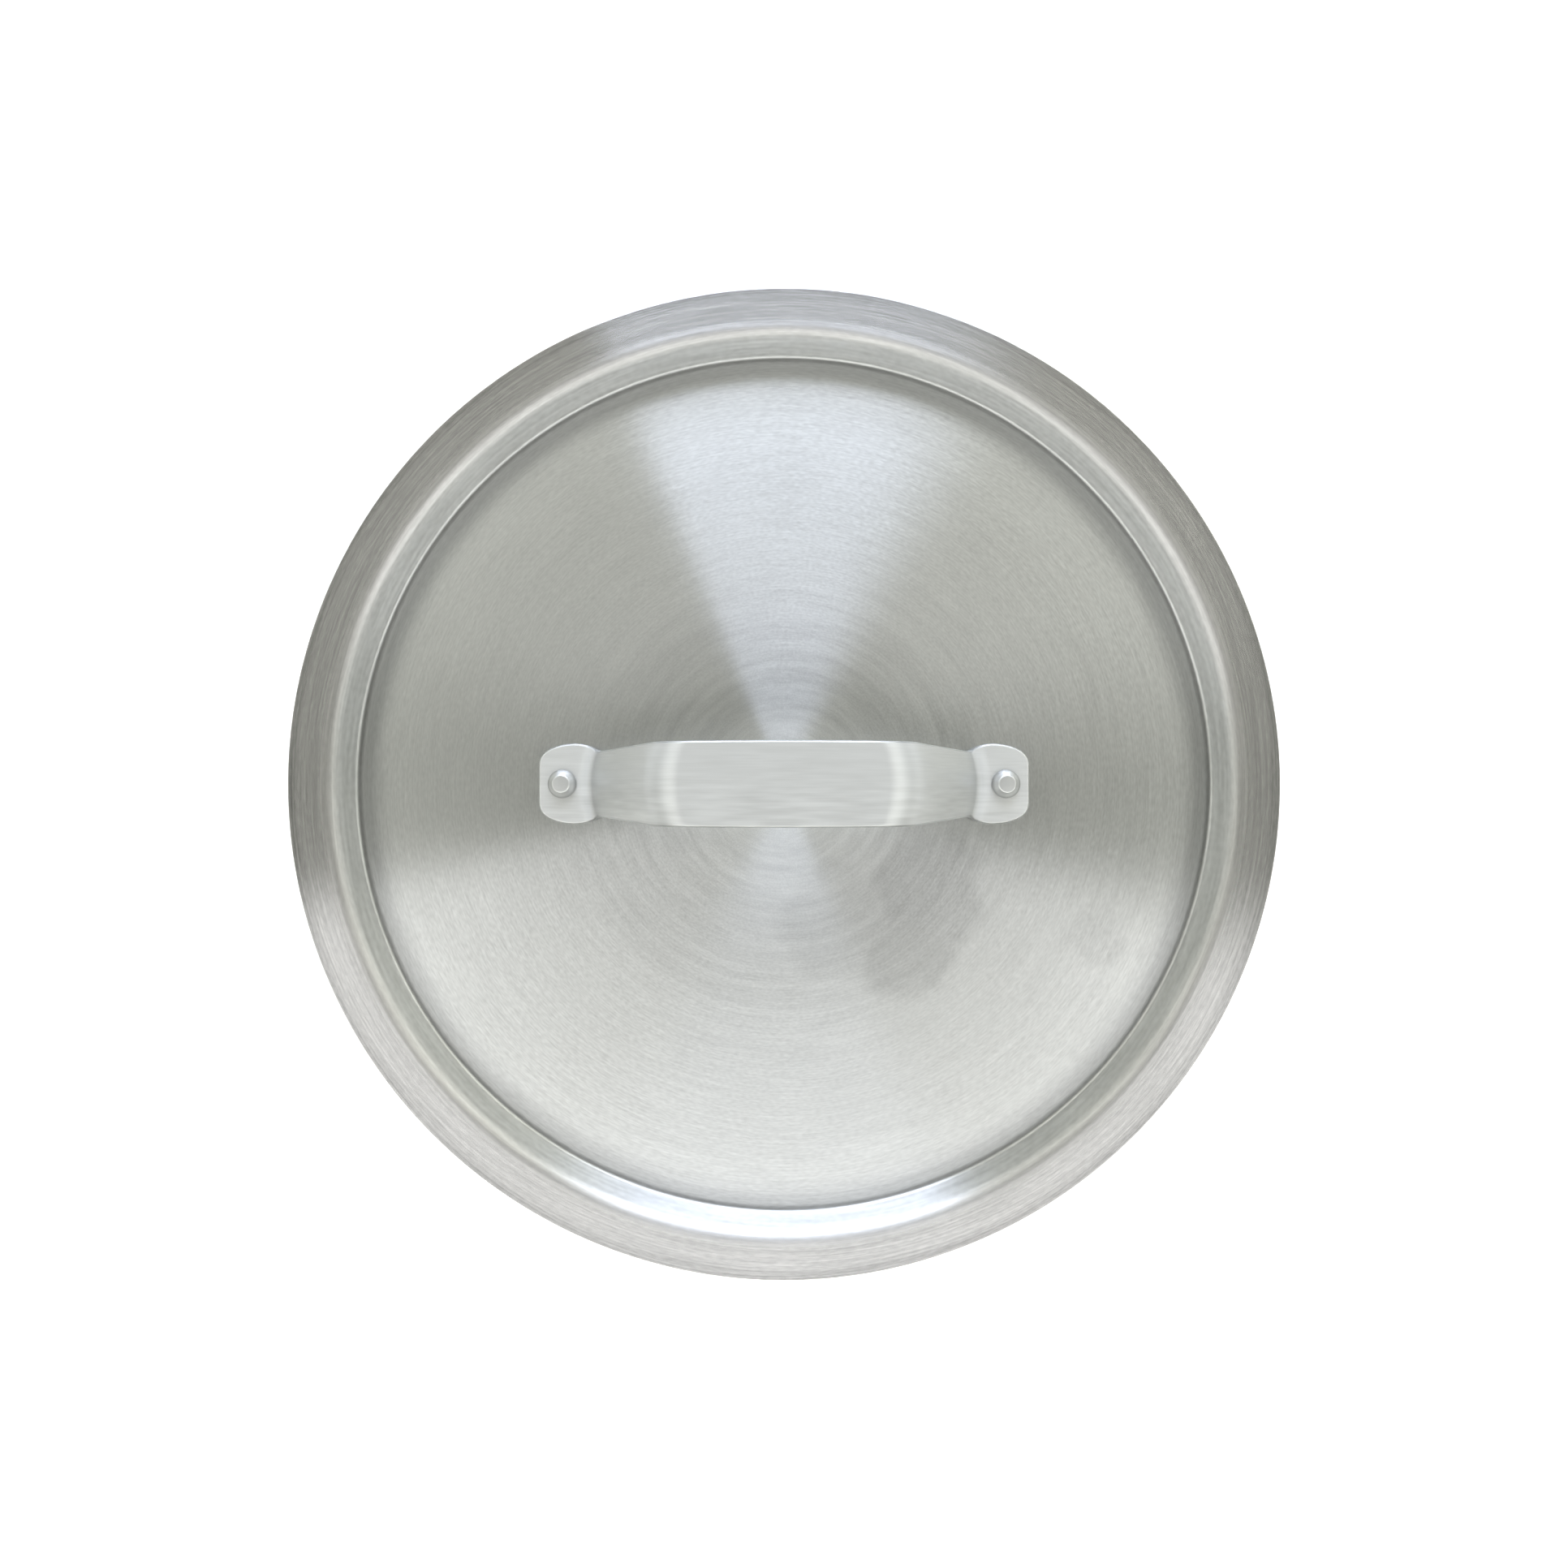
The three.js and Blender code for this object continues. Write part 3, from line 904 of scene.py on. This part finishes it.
class KETTLELID_OT_rivets(bpy.types.Operator):
    """Build the two solid rivets"""

    bl_idname = "kettle_lid.rivets"
    bl_label = "Rivets"

    def execute(self, context):
        settings = context.scene.kettle_lid
        disc, handle, rivet = settings.disc, settings.handle, settings.rivet
        material = pressed_aluminium(rivet.colour, rivet_places()[1], rivet.head_radius)
        for side, x in zip(("left", "right"), rivet_places()):
            under = crown_height(disc, abs(x) + rivet.tail_radius)
            lobe_top = disc.sheet + crown_height(disc, abs(x)) + handle.thickness + 3 * CONTACT
            mesh = turned_mesh(f"solid_rivet_{side}", rivet_profile(rivet, lobe_top, under), RIVET_STEPS)
            mesh.transform(Matrix.Translation((x, 0, 0)))
            piece = new_piece(f"solid_rivet_{side}", mesh, material)
            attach(piece, "root")
            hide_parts(f"rivet_{side}")
        return {"FINISHED"}


# ---------------------------------------------------------------- stage


def soft_step(share):
    """Rises smoothly from 0 to 1 as the share does."""
    share = min(max(share, 0.0), 1.0)
    return share * share * (3 - 2 * share)


def light_card(name, colour, strength, azimuths, elevations, fades, top_fade, distance):
    """A softly shining card bent round the lid. Azimuths run clockwise from +Y, in degrees, and its ends and its top
    fade over the given widths. It lights the metal and shows in it, and the camera doesn't see it."""
    columns, rows = 60, 16
    bm = bmesh.new()
    fade = bm.verts.layers.float.new("fade")
    grid = []
    for row in range(rows + 1):
        elevation = math.radians(elevations[0] + (elevations[1] - elevations[0]) * row / rows)
        line = []
        for column in range(columns + 1):
            degrees = azimuths[0] + (azimuths[1] - azimuths[0]) * column / columns
            azimuth = math.radians(degrees)
            flat = distance * math.cos(elevation)
            vertex = bm.verts.new(
                (flat * math.sin(azimuth), flat * math.cos(azimuth), distance * math.sin(elevation))
            )
            ends = min((degrees - azimuths[0]) / fades[0], (azimuths[1] - degrees) / fades[1])
            top = (elevations[1] - math.degrees(elevation)) / top_fade
            vertex[fade] = soft_step(ends) * soft_step(top)
            line.append(vertex)
        grid.append(line)
    for low, high in zip(grid, grid[1:]):
        for i in range(columns):
            bm.faces.new((low[i], low[i + 1], high[i + 1], high[i]))
    mesh = bpy.data.meshes.new(name)
    bm.to_mesh(mesh)
    bm.free()
    material = bpy.data.materials.new(name)
    material.use_nodes = True
    tree = material.node_tree
    tree.nodes.clear()
    share = add_node(tree, "ShaderNodeAttribute", {"attribute_name": "fade"}).outputs["Fac"]
    shine = add_node(tree, "ShaderNodeMath", {"operation": "MULTIPLY"}, {0: share, 1: strength})
    glow = add_node(tree, "ShaderNodeEmission", inputs={"Color": (*colour, 1), "Strength": shine})
    clear = add_node(tree, "ShaderNodeBsdfTransparent")
    both = add_node(tree, "ShaderNodeAddShader", inputs={0: glow, 1: clear})
    add_node(tree, "ShaderNodeOutputMaterial", inputs={"Surface": both})
    card = new_piece(name, mesh, material)
    card.visible_camera = False
    card.visible_shadow = False


class KETTLELID_OT_stage(bpy.types.Operator):
    """Build the pale floor, the soft studio light and the camera"""

    bl_idname = "kettle_lid.stage"
    bl_label = "Stage"

    def execute(self, context):
        scene = context.scene
        stage = scene.kettle_lid.stage
        scene.view_settings.view_transform = "Standard"

        camera_data = bpy.data.cameras.new("camera")
        camera_data.lens = stage.lens
        camera_data.clip_start = 0.01
        camera = bpy.data.objects.new("camera", camera_data)
        camera.location = (0, 0, stage.camera_height)
        scene.collection.objects.link(camera)
        scene.camera = camera

        floor_mesh = bpy.data.meshes.new("floor")
        sides = [(x * FLOOR_REACH, y * FLOOR_REACH) for x, y in ((-1, -1), (1, -1), (1, 1), (-1, 1))]
        floor_mesh.from_pydata([(x, y, -FLOOR_GAP) for x, y in sides], [], [(0, 1, 2, 3)])
        paper, shader = new_material("white_paper", (stage.paper_white,) * 3, 0.9)
        shader.inputs["Metallic"].default_value = 0.0
        shader.inputs["Emission Color"].default_value = (1, 1, 1, 1)
        shader.inputs["Emission Strength"].default_value = stage.paper_glow
        new_piece("floor", floor_mesh, paper)

        world = bpy.data.worlds.new("studio")
        world.use_nodes = True
        tree = world.node_tree
        tree.nodes.clear()
        direction = add_node(tree, "ShaderNodeTexCoord").outputs["Generated"]
        height = add_node(tree, "ShaderNodeSeparateXYZ", inputs={0: direction}).outputs["Z"]
        glow = add_node(tree, "ShaderNodeFloatCurve", inputs={"Value": height})
        curve = glow.mapping.curves[0]
        curve.points[0].location = ROOM_GLOW[0]
        curve.points[1].location = ROOM_GLOW[-1]
        for sine, level in ROOM_GLOW[1:-1]:
            curve.points.new(sine, level)
        glow.mapping.update()
        strength = add_node(tree, "ShaderNodeMath", {"operation": "MULTIPLY"}, {0: glow, 1: stage.room_strength})
        room = add_node(tree, "ShaderNodeBackground", inputs={"Color": (*stage.room_colour, 1), "Strength": strength})
        white = add_node(tree, "ShaderNodeBackground", inputs={"Color": (1, 1, 1, 1), "Strength": 1.0})
        seen = add_node(tree, "ShaderNodeLightPath").outputs["Is Camera Ray"]
        mixed = add_node(tree, "ShaderNodeMixShader", inputs={0: seen, 1: room, 2: white})
        add_node(tree, "ShaderNodeOutputWorld", inputs={"Surface": mixed})
        scene.world = world

        for name, (colour, *shape) in CARDS.items():
            light_card(name, getattr(stage, colour), *shape, stage.card_distance)
        return {"FINISHED"}


# ---------------------------------------------------------------- panel and running


class KETTLELID_PT_panel(bpy.types.Panel):
    """Buttons that build the lid"""

    bl_idname = "KETTLELID_PT_panel"
    bl_label = "Kettle Lid"
    bl_space_type = "VIEW_3D"
    bl_region_type = "UI"
    bl_category = "Kettle Lid"

    def draw(self, context):
        for operator in OPERATORS:
            self.layout.operator(operator.bl_idname)


OPERATORS = (KETTLELID_OT_stage, KETTLELID_OT_disc, KETTLELID_OT_handle, KETTLELID_OT_rivets)
SETTINGS = (
    KettleLidDiscSettings,
    KettleLidHandleSettings,
    KettleLidRivetSettings,
    KettleLidStageSettings,
    KettleLidSettings,
)
CLASSES = (*SETTINGS, *OPERATORS, KETTLELID_PT_panel)


def register():
    for cls in CLASSES:
        bpy.utils.register_class(cls)
    bpy.types.Scene.kettle_lid = PointerProperty(type=KettleLidSettings)


def unregister():
    del bpy.types.Scene.kettle_lid
    for cls in reversed(CLASSES):
        bpy.utils.unregister_class(cls)


def main():
    register()
    bpy.ops.kettle_lid.stage()
    bpy.ops.kettle_lid.disc()
    bpy.ops.kettle_lid.handle()
    bpy.ops.kettle_lid.rivets()


if __name__ == "__main__":
    main()
